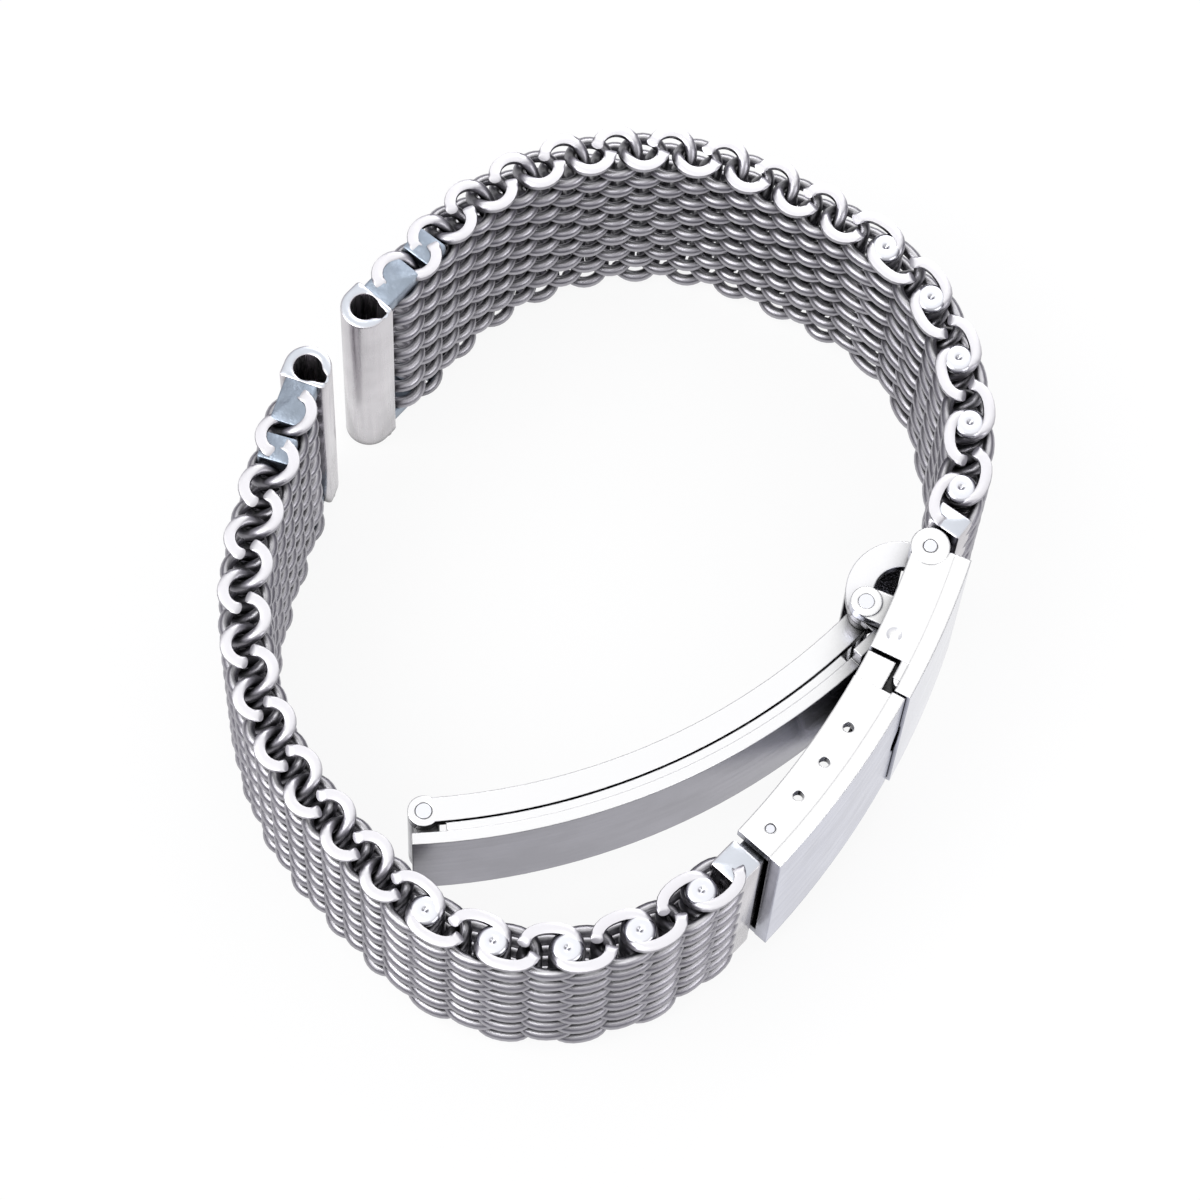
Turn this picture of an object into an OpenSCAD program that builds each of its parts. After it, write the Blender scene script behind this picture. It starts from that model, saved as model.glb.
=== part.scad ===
/* [Band] */
// Width of the band at the clasp and of the clasp cover
band_w = 18; // [16:0.5:20]
// Width of the band at the watch
lug_w = 22; // [20:0.5:24]
// Side of the flattened wire that the coils are wound from
wire_w = 0.9; // [0.8:0.02:0.92]
// Distance between coils in the woven part
coil_pitch = 2.1; // [2.06:0.02:2.3]
// Gap between two neighbouring wires of the weave
weave_gap = 0.13; // [0.1:0.01:0.16]
// How far the ends of the coils are ground flat
grind = 0.22; // [0.1:0.02:0.3]

/* [Removable links] */
// Distance between two link pins
link_pitch = 5.46; // [5.3:0.02:5.8]
// Radius of a link pin
pin_r = 0.38; // [0.3:0.02:0.4]
// Gap between a link pin and the coils beside it
pin_gap = 0.085; // [0.06:0.005:0.12]
// Radius of a link pin's head
head_r = 1.25; // [0.8:0.05:1.3]
// Height of a link pin's head
head_h = 0.5; // [0.3:0.05:0.55]

/* [Watch ends] */
// Radius of the rounded nose that holds the watch's spring bar
nose_r = 1.85; // [1.7:0.05:2]
// Radius of the hole for the watch's spring bar
lug_bore_r = 1.05; // [0.8:0.05:1.15]
// Distance from the last coil to the spring bar hole
lug_reach = 3.75; // [3.6:0.05:4.4]

/* [Clasp cover] */
// Radius of the cover's outer face
cover_r = 70; // [68:0.5:72]
// Thickness of the cover's plate
plate_t = 1.1; // [0.9:0.05:1.2]
// Thickness of the cover's side walls
wall_t = 1; // [0.8:0.05:1.1]
// Depth of the cover's side walls
wall_d = 4.2; // [3.8:0.1:4.6]
// Radius of the adjustment holes
adjust_r = 0.4; // [0.38:0.01:0.45]
// Distance between two adjustment holes
adjust_step = 3.3; // [3.1:0.1:3.5]
// Length of the cover from the flip lock's pins to its end
cover_len = 28.711; // [28.2:0.1:29.4]
// Distance from the cover's end to the spring bar
bar_in = 1.833; // [1.8:0.05:2]
// Thickness of the stepped cheeks under the flip lock
cheek_t = 1; // [0.9:0.05:1.1]
// Radius of the spring bar's tube
bar_r = 0.9; // [0.8:0.05:1]
// Wall of the end link's knuckle round the spring bar
knuckle_wall = 0.36; // [0.3:0.02:0.38]

/* [Flip lock] */
// Height of the flip lock's plate above the cover's face
lock_rise = 0.3; // [0.2:0.05:0.4]
// Gap between the flip lock and the cover under it
lock_gap = 0.2; // [0.15:0.05:0.3]
// Depth of the flip lock's pins below the cover's outer face
lock_drop = 2.96; // [2.8:0.02:3.1]
// Length of the flip lock from its pins to the seam
lock_len = 12.217; // [11.8:0.1:12.6]
// Length of the flip lock's side walls
lock_wall = 9.896; // [9.6:0.1:10.2]
// Depth of the thumbnail notch at the seam
nail_d = 0.65; // [0.4:0.05:0.8]
// Radius of the pins that the flip lock turns on
lock_pin_r = 0.5; // [0.4:0.05:0.55]

/* [Folding blades] */
// Thickness of the blades' sheet
blade_t = 0.9; // [0.7:0.05:0.95]
// Radius of the circle that runs through both pivots of the blades
blade_r = 50; // [46:1:60]
// Depth of the inner blade
blade_d = 1.9; // [1.6:0.1:2]
// Thickness of the blade's wings and of the extension link's arms
arm_t = 0.8; // [0.7:0.05:0.85]
// Radius of the blades' pivot pins
pivot_r = 0.6; // [0.5:0.05:0.65]
// Outer radius of every pivot's eye
eye_r = 1.2; // [1.1:0.05:1.25]
// Radius of the extension link's curve
ext_r = 3.25; // [3.2:0.05:3.6]
// Width of the extension link's arms
ext_w = 2.1; // [1.8:0.1:2.3]
// Running clearance of every pin in its eye
run = 0.05; // [0.03:0.01:0.08]
// Side gap between pieces that turn beside each other
side_gap = 0.1; // [0.08:0.01:0.12]

/* [Hidden] */
$fn = 48;
eps = 0.01;
// An eye stands proud of its arm by this, and a wall is set in by it from the sheet's edge
proud = 0.03;
seam_gap = 0.18;
mid_z = lug_w / 2;

// Where the parts lie, seen from above, with the middle of the bracelet at the origin
shift = [-0.29, -1.48];
band_p = [24.4046, 2.8145] + shift;
fold_p = [-11.8, -19.9] + shift;
latch_p = [19.9, -1.6] + shift;

// The cover's stretches as angles about its centre of curvature, from the band's hinge on
lock_a = -14.5;
function deg(len) = len / cover_r * 180 / PI;
end_a = lock_a - deg(cover_len);
bar_a = end_a + deg(bar_in);
seam_a = lock_a - deg(lock_len);
step_a = lock_a - deg(lock_wall);
dimple_a = step_a + deg(1.83);
lock_at = cover_r - lock_drop;
low_r = cover_r - plate_t - side_gap;
bar_at = low_r - bar_r - knuckle_wall - run;
wall_in = cover_r - wall_d;
cover_c = band_p - lock_at * [cos(lock_a), sin(lock_a)];
function polar(r, a) = cover_c + r * [cos(a), sin(a)];
bar_p = polar(bar_at, bar_a);

// Resting curve of each half of the band: length and turn of each stretch, from the clasp on
arcs_12 = [[11, 37], [10, 25], [9, 32], [8, 5], [28, 79], [9, -4]];
arcs_6 = [[9, -9], [22, -81], [9, -7], [24, -54], [12, -5]];
function arc_end(p, h, len, turn) = turn == 0
    ? p + len * [cos(h), sin(h)]
    : let(r = len / (turn * PI / 180)) p + r * [sin(h + turn) - sin(h), cos(h) - cos(h + turn)];
function along(arcs, s, p, h, i = 0) = let(len = arcs[i][0], turn = arcs[i][1])
    s <= len || i == len(arcs) - 1
    ? [arc_end(p, h, s, turn * s / len), h + turn * s / len]
    : along(arcs, s - len, arc_end(p, h, len, turn), h + turn, i + 1);
// side 0 is the 12 o'clock half and side 1 the 6 o'clock half
function place(side, s) = side == 0 ? along(arcs_12, s, band_p, 58) : along(arcs_6, s, bar_p, 231);

// A coil is a run of half turns joined by posts
levels = 7;
post_w = wire_w - 0.14;
post_pitch = wire_w + weave_gap;
half_len = (coil_pitch + post_pitch) / 2;
long_half = (link_pitch + post_pitch + 2 * pin_r + wire_w + 2 * pin_gap) / 4;
pin_span = 2 * long_half - 2 * pin_r - wire_w - 2 * pin_gap;
mix_pitch = half_len + long_half - post_pitch;

// Stations along each half, measured from its hinge on the clasp
link_count = 4;
mesh_count = 20;
first_pin = [link_pitch, 7];
last_pin = [for (f = first_pin) f + link_count * link_pitch];
function pin_s(side, k) = first_pin[side] + k * link_pitch;
function mesh_s(side, k) = last_pin[side] + pin_span / 2 + mix_pitch + (k - 1) * coil_pitch;
function lug_s(side) = mesh_s(side, mesh_count) + lug_reach;
function width_at(side, s) = band_w + (lug_w - band_w)
    * max(0, min(1, (s - last_pin[side]) / (mesh_s(side, mesh_count) - last_pin[side])));

// Blade geometry about the centre of the circle through the two pivots
blade_v = latch_p - fold_p;
blade_len = norm(blade_v);
blade_dir = atan2(blade_v.y, blade_v.x);
blade_c = (latch_p + fold_p) / 2
    + sqrt(blade_r * blade_r - blade_len * blade_len / 4) * [-sin(blade_dir), cos(blade_dir)];
fold_a = atan2(fold_p.y - blade_c.y, fold_p.x - blade_c.x);
latch_a = atan2(latch_p.y - blade_c.y, latch_p.x - blade_c.x);
inner_r = blade_r - 1;
outer_r = inner_r + blade_d + 0.15;

// Heights above the middle, from the wall in: cheek, wing, arm and blade, a side gap apart
wall_z = band_w / 2 - wall_t;
cheek_z = wall_z - side_gap - cheek_t;
wing_z = cheek_z - side_gap - arm_t;
arm_z = wing_z - side_gap - arm_t;
half_w = arm_z - side_gap;
blade_w = 2 * half_w;
snug = 0.01;
boss_r = 1.5;

// The extension link is an arc between its two pivots that bulges into the bracelet
ext_v = band_p - latch_p;
ext_len = norm(ext_v);
ext_side = [-ext_v.y, ext_v.x] / ext_len;
ext_c = (band_p + latch_p) / 2 - sqrt(ext_r * ext_r - ext_len * ext_len / 4) * ext_side;
ext_a0 = atan2(band_p.y - ext_c.y, band_p.x - ext_c.x);
ext_a1 = atan2(latch_p.y - ext_c.y, latch_p.x - ext_c.x) + 360;

module at(p, a = 0) {
    translate([p.x, p.y, mid_z]) rotate(a) children();
}

module on_band(side, s) {
    p = place(side, s);
    at(p[0], p[1]) children();
}

module both_sides() {
    children();
    mirror([0, 0, 1]) children();
}

// Slab of an arc about the z axis, between two radii, two angles and two heights
module arc_slab(r0, r1, a0, a1, z0, z1) {
    rotate(a0) rotate_extrude(angle = a1 - a0, $fn = 200) translate([r0, z0]) square([r1 - r0, z1 - z0]);
}

// A pair of discs at p, at equal heights above and below the middle
module discs(p, r, z0, z1) {
    at(p) both_sides() translate([0, 0, z0]) cylinder(r = r, h = z1 - z0);
}

// A pair of eyes that stand a little proud of the arms they end
module eyes(p, r, z0, z1) {
    discs(p, r, z0 - proud, z1 + proud);
}

module pin_hole(p, r) {
    at(p) translate([0, 0, -band_w]) cylinder(r = r, h = 2 * band_w);
}

module solid_pin(p, r, half) {
    at(p) translate([0, 0, -half]) cylinder(r = r, h = 2 * half);
}

// One half turn of a coil: two quarter rings and the straight run between them
module half_turn(len, z0, z1) {
    size = [wire_w, z1 - z0];
    r = half_len - wire_w / 2;
    run_l = len - half_len;
    if (run_l > eps) {
        translate([run_l, 0]) rotate_extrude(angle = 90) translate([r, z0]) square(size);
        translate([-run_l, 0]) rotate(90) rotate_extrude(angle = 90) translate([r, z0]) square(size);
        translate([-run_l, r, z0]) cube([2 * run_l, wire_w, z1 - z0]);
    }
    else rotate_extrude(angle = 180) translate([r, z0]) square(size);
}

// A coil of half turns that lie on the inner and outer face in turn
module coil(len, w, phase) {
    step = (w / 2 + grind - wire_w / 2) / levels;
    top = w / 2;
    for (m = [-levels:levels]) {
        z0 = max(m * step - wire_w / 2, -top);
        z1 = min(m * step + wire_w / 2, top);
        rotate((m + levels + phase) % 2 == 0 ? 0 : 180) half_turn(len, z0, z1);
    }
    for (m = [-levels:levels - 1]) {
        z0 = max(m * step - post_w / 2, 0.05 - top);
        z1 = min((m + 1) * step + post_w / 2, top - 0.05);
        x = (m + levels + phase) % 2 == 0 ? -len : len;
        translate([x - post_w / 2, -post_w / 2, z0]) cube([post_w, post_w, z1 - z0]);
    }
}

module coil_at(side, s, len, phase) {
    on_band(side, s) coil(len, width_at(side, s), phase);
}

module head_pocket(side, s) {
    on_band(side, s) translate([0, 0, width_at(side, s) / 2 - head_h - 0.05]) cylinder(r = head_r + 0.05, h = 1);
}

// A removable link is two long coils between two pins
module link(side, k) {
    color("silver") difference() {
        union() {
            coil_at(side, pin_s(side, k - 1) + pin_span / 2, long_half, 1);
            coil_at(side, pin_s(side, k) - pin_span / 2, long_half, 0);
        }
        head_pocket(side, pin_s(side, k - 1));
        head_pocket(side, pin_s(side, k));
    }
}

module link_pin(side, k) {
    s = pin_s(side, k - 1);
    w = width_at(side, s);
    color("gainsboro") on_band(side, s) {
        translate([0, 0, -w / 2 + 0.1]) cylinder(r = pin_r, h = w - 0.2 - head_h / 2);
        translate([0, 0, w / 2 - head_h]) cylinder(r = head_r, h = head_h - 0.02);
    }
}

// Two coils of the woven part, the first of which is a long one beside the last pin
module mesh(side, k) {
    color("silver") {
        if (k == 1) difference() {
            coil_at(side, last_pin[side] + pin_span / 2, long_half, 1);
            head_pocket(side, last_pin[side]);
        }
        else coil_at(side, mesh_s(side, 2 * k - 2), half_len, 1);
        coil_at(side, mesh_s(side, 2 * k - 1), half_len, 0);
    }
}

// The watch end: a nose bored for the spring bar, brazed to the last coil
module lug_end(side) {
    s = lug_s(side);
    color("lightsteelblue") on_band(side, s) translate([0, 0, -lug_w / 2]) difference() {
        union() {
            rotate(-90) rotate_extrude(angle = 180) square([nose_r, lug_w]);
            translate([half_len - lug_reach - 0.1, -nose_r, 0]) cube([lug_reach - half_len + 0.1, 2 * nose_r, lug_w]);
        }
        translate([0, 0, -1]) cylinder(r = lug_bore_r, h = lug_w + 2);
    }
    color("silver") coil_at(side, mesh_s(side, mesh_count), half_len, 1);
}

// The last link of the 12 o'clock half: a knuckle, a block and one long coil
module end_link_12() {
    s = link_pitch - pin_span / 2;
    color("lightsteelblue") difference() {
        union() {
            at(band_p, 58) {
                translate([0, 0, -half_w]) cylinder(r = eye_r, h = blade_w);
                translate([0, -1, -half_w]) cube([2.2, 2, blade_w]);
                translate([1.75, -1.4, -band_w / 2 + 0.1]) cube([1.9, 2.8, band_w - 0.2]);
            }
            coil_at(0, s, long_half, 0);
        }
        at(band_p, 58) translate([0, 0, -half_w - 1]) cylinder(r = pivot_r + run, h = blade_w + 2);
        head_pocket(0, pin_s(0, 0));
    }
}

// The last link of the 6 o'clock half turns on the spring bar
module end_link_6() {
    knuckle_r = bar_r + run + knuckle_wall;
    s = first_pin[1] - pin_span / 2;
    h = wall_z - 0.5;
    color("lightsteelblue") difference() {
        union() {
            at(bar_p, 231) {
                translate([0, 0, -h]) cylinder(r = knuckle_r, h = 2 * h);
                translate([0.5, -1.1, -h]) cube([2.4, 2.2, 2 * h]);
                translate([2.4, -1.4, -band_w / 2 + 0.1]) cube([2.6, 2.8, band_w - 0.2]);
            }
            coil_at(1, s, long_half, 0);
        }
        at(bar_p) translate([0, 0, -h - 1]) cylinder(r = bar_r + run, h = 2 * h + 2);
        head_pocket(1, pin_s(1, 0));
    }
}

module spring_bar_tube() {
    color("lightgray") difference() {
        solid_pin(bar_p, bar_r, wall_z - 0.25);
        pin_hole(bar_p, 0.5 + snug);
    }
}

// The two sprung tips that stand in a pair of the adjustment holes
module spring_bar_tips() {
    color("gray") {
        discs(bar_p, 0.5, 1, wall_z - 0.25);
        discs(bar_p, adjust_r - run, 1.5, band_w / 2 - 0.1);
    }
}

// The cover: a curved channel whose end is stepped in, under the flip lock
module clasp_cover() {
    latch_a0 = atan2(latch_p.y - cover_c.y, latch_p.x - cover_c.x);
    latch_r = norm(latch_p - cover_c);
    ear_a = deg(1.34);
    top = cheek_z + cheek_t;
    half = band_w / 2;
    color("lightgray") difference() {
        union() {
            at(cover_c) {
                arc_slab(cover_r - plate_t, cover_r, end_a, seam_a - deg(seam_gap), -half, half);
                arc_slab(low_r - 1, cover_r - 0.3, seam_a - deg(2.08), seam_a - deg(0.86), -wall_z - 0.2, wall_z + 0.2);
                arc_slab(low_r - 1, low_r, seam_a - deg(1.47), lock_a - deg(boss_r + 0.3), -top, top);
                both_sides() {
                    arc_slab(wall_in, cover_r - 0.5, end_a + proud, seam_a - 2 * deg(seam_gap), wall_z, half - proud);
                    arc_slab(wall_in + proud, cover_r - 1.9, seam_a - deg(0.61), step_a - deg(0.24), wall_z + proud, half - 2 * proud);
                    arc_slab(wall_in + 2 * proud, low_r - 0.5, seam_a - deg(1.83), lock_a - proud, cheek_z, top - proud);
                    arc_slab(wall_in + 3 * proud, low_r - 0.6, seam_a - deg(1.95), seam_a - deg(0.98), cheek_z + 0.2, wall_z + 0.15);
                    arc_slab(latch_r, wall_in + 0.3, latch_a0 - ear_a, latch_a0 + ear_a, cheek_z + proud, top - 2 * proud);
                }
            }
            eyes(latch_p, eye_r, cheek_z, top);
            eyes(band_p, boss_r, cheek_z, top);
        }
        for (k = [0:3]) pin_hole(polar(bar_at, bar_a + k * adjust_step / bar_at * 180 / PI), adjust_r);
        pin_hole(band_p, lock_pin_r + snug);
        pin_hole(latch_p, pivot_r + snug);
        nail_notch();
    }
}

// Scallop in the cover's edge at the seam, for a thumbnail
module nail_notch() {
    r = 4;
    at(cover_c) rotate(seam_a) translate([cover_r - plate_t - side_gap / 2, r - nail_d - seam_gap])
        rotate([0, 90, 0]) cylinder(r = r, h = 2 * plate_t);
}

// The flip lock: a short channel that folds down over the cover's stepped end
module flip_lock() {
    half = band_w / 2;
    face = cover_r + lock_rise;
    color("gainsboro") difference() {
        union() {
            at(cover_c) {
                arc_slab(low_r + lock_gap, face, seam_a, lock_a - deg(0.1), -half, half);
                both_sides() {
                    arc_slab(wall_in, face - 0.5, step_a + deg(0.12), lock_a, wall_z, half - proud);
                    arc_slab(cover_r - 1.6, face - 0.55, seam_a + deg(0.9), step_a + deg(0.37), wall_z + proud, half - 2 * proud);
                }
            }
            eyes(band_p, boss_r, wall_z, half);
            discs(polar(cover_r - 0.92, seam_a + deg(0.98)), 0.6, wall_z + 2 * proud, half - 3 * proud);
        }
        pin_hole(band_p, lock_pin_r + run);
        at(polar(lock_at, dimple_a)) both_sides() translate([0, 0, half - proud + 1.38]) sphere(r = 1.5);
    }
}

module flip_lock_pins() {
    color("gray") discs(band_p, lock_pin_r, cheek_z, band_w / 2 + 0.05);
}

// The blade hinged to the cover: its fold end has one knuckle, its other end two wings
module blade_outer() {
    deep = outer_r + 1.55;
    z1 = half_w - blade_t - side_gap;
    wing = wing_z + arm_t;
    color("lightsteelblue") difference() {
        union() {
            at(blade_c) {
                arc_slab(deep - blade_t, deep, fold_a - 1.1, latch_a, -half_w, half_w);
                both_sides() arc_slab(outer_r, deep - 0.3, fold_a + 1.8, latch_a - 4, half_w - blade_t, half_w - proud);
                arc_slab(blade_r, deep - 0.35, fold_a - 0.9, fold_a + 1.1, -z1, z1);
                arc_slab(deep - blade_t + proud, deep - proud, latch_a - 3.5, latch_a + 1.2, -wing, wing);
                both_sides() arc_slab(blade_r, deep - 0.3, latch_a - 1.2, latch_a + 1.1, wing_z, wing - proud);
            }
            solid_pin(fold_p, eye_r, z1 + proud);
            eyes(latch_p, eye_r, wing_z, wing);
        }
        pin_hole(fold_p, pivot_r + snug);
        pin_hole(latch_p, pivot_r + run);
    }
}

// The blade hinged to the extension link: a channel with two eyes at each end
module blade_inner() {
    color("silver") difference() {
        union() {
            at(blade_c) {
                arc_slab(inner_r, inner_r + blade_t, fold_a + 2.2, latch_a - 1.9, -half_w, half_w);
                both_sides() arc_slab(inner_r, inner_r + blade_d, fold_a, latch_a, half_w - blade_t, half_w);
            }
            discs(fold_p, eye_r, half_w - blade_t, half_w);
            discs(latch_p, eye_r, half_w - blade_t, half_w);
        }
        pin_hole(fold_p, pivot_r + run);
        pin_hole(latch_p, pivot_r + run);
    }
}

module fold_pin() {
    color("gray") solid_pin(fold_p, pivot_r, half_w);
}

module latch_pin() {
    color("gray") solid_pin(latch_p, pivot_r, arm_z + arm_t);
}

module cover_pivot_pins() {
    color("gray") discs(latch_p, pivot_r, wing_z, cheek_z + cheek_t);
}

// The extension link: two curved arms joined by a web on the inner side
module extension_link() {
    z1 = arm_z + arm_t;
    color("lightsteelblue") difference() {
        union() {
            at(ext_c) {
                both_sides() arc_slab(ext_r - ext_w / 2, ext_r + ext_w / 2, ext_a0, ext_a1, arm_z, z1);
                arc_slab(ext_r + ext_w / 2 - arm_t, ext_r + ext_w / 2 - proud, ext_a0 + 30, ext_a1 - 27, proud - z1, z1 - proud);
            }
            eyes(band_p, eye_r, arm_z, z1);
            eyes(latch_p, eye_r, arm_z, z1);
        }
        pin_hole(band_p, pivot_r + snug);
        pin_hole(latch_p, pivot_r + run);
    }
}

module band_pin() {
    color("gray") solid_pin(band_p, pivot_r, arm_z + arm_t);
}

clasp_cover();
flip_lock();
flip_lock_pins();
spring_bar_tube();
spring_bar_tips();
blade_outer();
blade_inner();
fold_pin();
latch_pin();
cover_pivot_pins();
extension_link();
band_pin();
end_link_12();
end_link_6();
lug_end(0);  // lug_end_12
lug_end(1);  // lug_end_6
for (k = [1:link_count]) link(0, k);
for (k = [1:link_count]) link(1, k);
for (k = [1:link_count + 1]) link_pin(0, k);
for (k = [1:link_count + 1]) link_pin(1, k);
for (k = [1:mesh_count / 2]) mesh(0, k);
for (k = [1:mesh_count / 2]) mesh(1, k);
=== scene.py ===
"""Dressed model of a woven link watch bracelet with a folding clasp.

Lengths in the classes are millimetres, written as they would be measured on
the bracelet, and are turned into metres when a mesh is made.  The bracelet
stands on its side edge, with the band's width along z.
"""

import logging
import math
from collections.abc import Sequence
from dataclasses import dataclass
from enum import Enum

import bpy
import numpy as np
from mathutils import Matrix, Vector

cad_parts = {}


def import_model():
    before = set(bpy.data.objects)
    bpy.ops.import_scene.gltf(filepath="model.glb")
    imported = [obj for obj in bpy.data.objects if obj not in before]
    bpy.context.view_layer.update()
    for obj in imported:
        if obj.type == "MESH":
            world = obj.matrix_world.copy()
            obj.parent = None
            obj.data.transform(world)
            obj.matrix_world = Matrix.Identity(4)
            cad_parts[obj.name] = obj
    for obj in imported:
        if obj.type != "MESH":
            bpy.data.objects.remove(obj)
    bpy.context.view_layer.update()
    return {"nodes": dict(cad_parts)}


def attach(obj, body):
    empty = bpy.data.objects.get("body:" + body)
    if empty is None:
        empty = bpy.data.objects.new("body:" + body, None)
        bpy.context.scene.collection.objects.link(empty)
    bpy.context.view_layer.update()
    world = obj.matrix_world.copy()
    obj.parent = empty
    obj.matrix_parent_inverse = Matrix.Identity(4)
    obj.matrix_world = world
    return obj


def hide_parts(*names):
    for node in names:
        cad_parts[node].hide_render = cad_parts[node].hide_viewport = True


MM = 0.001
LOG = logging.getLogger("bracelet")

# Faces that meet at more than this angle keep a sharp edge
SHARP_ANGLE = math.radians(38.0)

# Upright blocks with rounded corners
CORNERS = 96
CORNER_POWER = 14.0
LEAST_COSINE = 1e-6

Faces = list[tuple[int, ...]]
Shape = tuple[np.ndarray, Faces]
Triple = tuple[float, float, float]


class Side(Enum):
    """The two halves of the band."""

    TWELVE = "12"
    SIX = "6"


class Phase(Enum):
    """Which face of the band a coil's lowest half turn lies on."""

    OUTER_FIRST = -1
    INNER_FIRST = 1


# Finishes


def new_node(
    tree: bpy.types.NodeTree, kind: str, values: dict[str, object] | None = None
) -> bpy.types.Node:
    """Add a shader node.

    Args:
        tree: The nodes to add it to.
        kind: Type of the node, without the ShaderNode in front.
        values: Constants of its inputs, by the input's name.

    Returns:
        The new node.
    """
    node = tree.nodes.new("ShaderNode" + kind)
    for name, value in (values or {}).items():
        node.inputs[name].default_value = value
    return node


def math_node(tree: bpy.types.NodeTree, operation: str) -> bpy.types.Node:
    """Add a node that works on numbers.

    Args:
        tree: The nodes to add it to.
        operation: What it does with its inputs.

    Returns:
        The new node.
    """
    node = new_node(tree, "Math")
    node.operation = operation
    return node


@dataclass(frozen=True)
class SteelTexture:
    """Noise and ranges that all the steel finishes share.

    The grain is fine noise along the brushing, and the cloud a slow change of
    tone.  A pair is where a change begins and where it is complete.
    """

    grain_detail: float = 5.0
    cloud_scale: float = 260.0
    cloud_detail: float = 3.0
    cloud_dark: float = 0.88
    cloud_range: tuple[float, float] = (0.35, 0.62)
    gloss_range: tuple[float, float] = (0.3, 0.7)
    least_gloss: float = 0.02
    upright_range: tuple[float, float] = (0.92, 0.985)
    # closed_at and the sample count set the shade that is painted into crevices
    closed_at: float = 0.3
    painted_shade_samples: int = 8
    relief_depth: float = 0.2
    edge_samples: int = 6


@dataclass(frozen=True)
class SteelFinish:
    """A steel surface with its own grain, gloss and ground faces.

    Roughness and relief come from noise that is stretched along the grain.
    Painted shade: crevices are darkened in the colour itself, by ambient
    occlusion, down to the painted shade tone over the painted shade reach, until the surface is as
    open as open_at.
    """

    name: str
    slot: str
    tint: Triple
    gloss: float
    gloss_spread: float = 0.08
    grain: Triple = (900.0, 900.0, 900.0)
    relief: float = 0.02
    edge: float = 0.0
    ground_tint: Triple | None = None
    ground_gloss: float = 0.2
    # Painted shade: these fields darken the colour itself where ambient occlusion finds the surface
    # closed in
    painted_shade_reach: float = 1.2
    painted_shade_tone: float = 0.04
    open_at: float = 0.8
    texture: SteelTexture = SteelTexture()

    def material(self) -> bpy.types.Material:
        """Build the material.

        Returns:
            The node material, made once and shared by every piece.
        """
        found = bpy.data.materials.get(self.name)
        if found:
            return found
        mat = bpy.data.materials.new(self.name)
        mat.use_nodes = True
        tree = mat.node_tree
        shader = tree.nodes["Principled BSDF"]
        shader.inputs["Metallic"].default_value = 1.0
        coords = new_node(tree, "TexCoord")
        mapping = new_node(tree, "Mapping", {"Scale": self.grain})
        noise = new_node(tree, "TexNoise", {"Scale": 1.0, "Detail": self.texture.grain_detail})
        tree.links.new(coords.outputs["Object"], mapping.inputs["Vector"])
        tree.links.new(mapping.outputs["Vector"], noise.inputs["Vector"])
        self._colour(tree, coords, shader)
        self._gloss(tree, noise, shader)
        self._relief(tree, noise, shader)
        return mat

    def _on_ground(
        self,
        tree: bpy.types.NodeTree,
        kind: str,
        plain: bpy.types.NodeSocket,
        ground: object,
    ) -> bpy.types.NodeSocket:
        """Put another value where the surface faces up or down.

        Args:
            tree: The material's nodes.
            kind: RGBA for a colour or FLOAT for a number.
            plain: The value elsewhere.
            ground: The value on the ground faces.

        Returns:
            The mixed value, or the plain one in a finish without ground faces.
        """
        if self.ground_tint is None:
            return plain
        begin, full = self.texture.upright_range
        geometry = new_node(tree, "NewGeometry")
        parts = new_node(tree, "SeparateXYZ")
        size = math_node(tree, "ABSOLUTE")
        step = new_node(tree, "MapRange", {"From Min": begin, "From Max": full})
        mix = new_node(tree, "Mix")
        mix.data_type = kind
        mix.inputs["B"].default_value = ground
        tree.links.new(geometry.outputs["Normal"], parts.inputs[0])
        tree.links.new(parts.outputs["Z"], size.inputs[0])
        tree.links.new(size.outputs[0], step.inputs["Value"])
        tree.links.new(step.outputs["Result"], mix.inputs["Factor"])
        tree.links.new(plain, mix.inputs["A"])
        return mix.outputs["Result"]

    def _colour(
        self,
        tree: bpy.types.NodeTree,
        coords: bpy.types.Node,
        shader: bpy.types.Node,
    ) -> None:
        """Mottle the tint slightly, lighten the ground faces and paint shade into crevices.

        Args:
            tree: The material's nodes.
            coords: The node with the piece's own coordinates.
            shader: The surface shader.
        """
        look = self.texture
        cloud = new_node(tree, "TexNoise", {"Scale": look.cloud_scale, "Detail": look.cloud_detail})
        tree.links.new(coords.outputs["Object"], cloud.inputs["Vector"])
        ramp = new_node(tree, "ValToRGB")
        dark = tuple(look.cloud_dark * c for c in self.tint)
        for stop, tone, place in zip(ramp.color_ramp.elements, (dark, self.tint), look.cloud_range):
            stop.color = (*tone, 1.0)
            stop.position = place
        tree.links.new(cloud.outputs["Fac"], ramp.inputs["Fac"])
        ground = (*(self.ground_tint or self.tint), 1.0)
        unshaded = self._on_ground(tree, "RGBA", ramp.outputs["Color"], ground)
        tree.links.new(self._painted_crevice_shade(tree, unshaded), shader.inputs["Base Color"])

    def _painted_crevice_shade(
        self, tree: bpy.types.NodeTree, unshaded: bpy.types.NodeSocket
    ) -> bpy.types.NodeSocket:
        """Paint shade into a colour's crevices, darkening it where the surface is closed in.

        Args:
            tree: The material's nodes.
            unshaded: The surface's colour before the painted shade.

        Returns:
            The colour with painted shade in its crevices.
        """
        # Painted shade: ambient occlusion scales the base colour down in crevices
        openness = new_node(tree, "AmbientOcclusion", {"Distance": self.painted_shade_reach * MM})
        openness.samples = self.texture.painted_shade_samples
        level = new_node(
            tree,
            "MapRange",
            {
                "From Min": self.texture.closed_at,
                "From Max": self.open_at,
                "To Min": self.painted_shade_tone,
            },
        )
        shade = new_node(tree, "VectorMath")
        shade.operation = "SCALE"
        tree.links.new(openness.outputs["AO"], level.inputs["Value"])
        tree.links.new(unshaded, shade.inputs[0])
        tree.links.new(level.outputs["Result"], shade.inputs["Scale"])
        return shade.outputs["Vector"]

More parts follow.
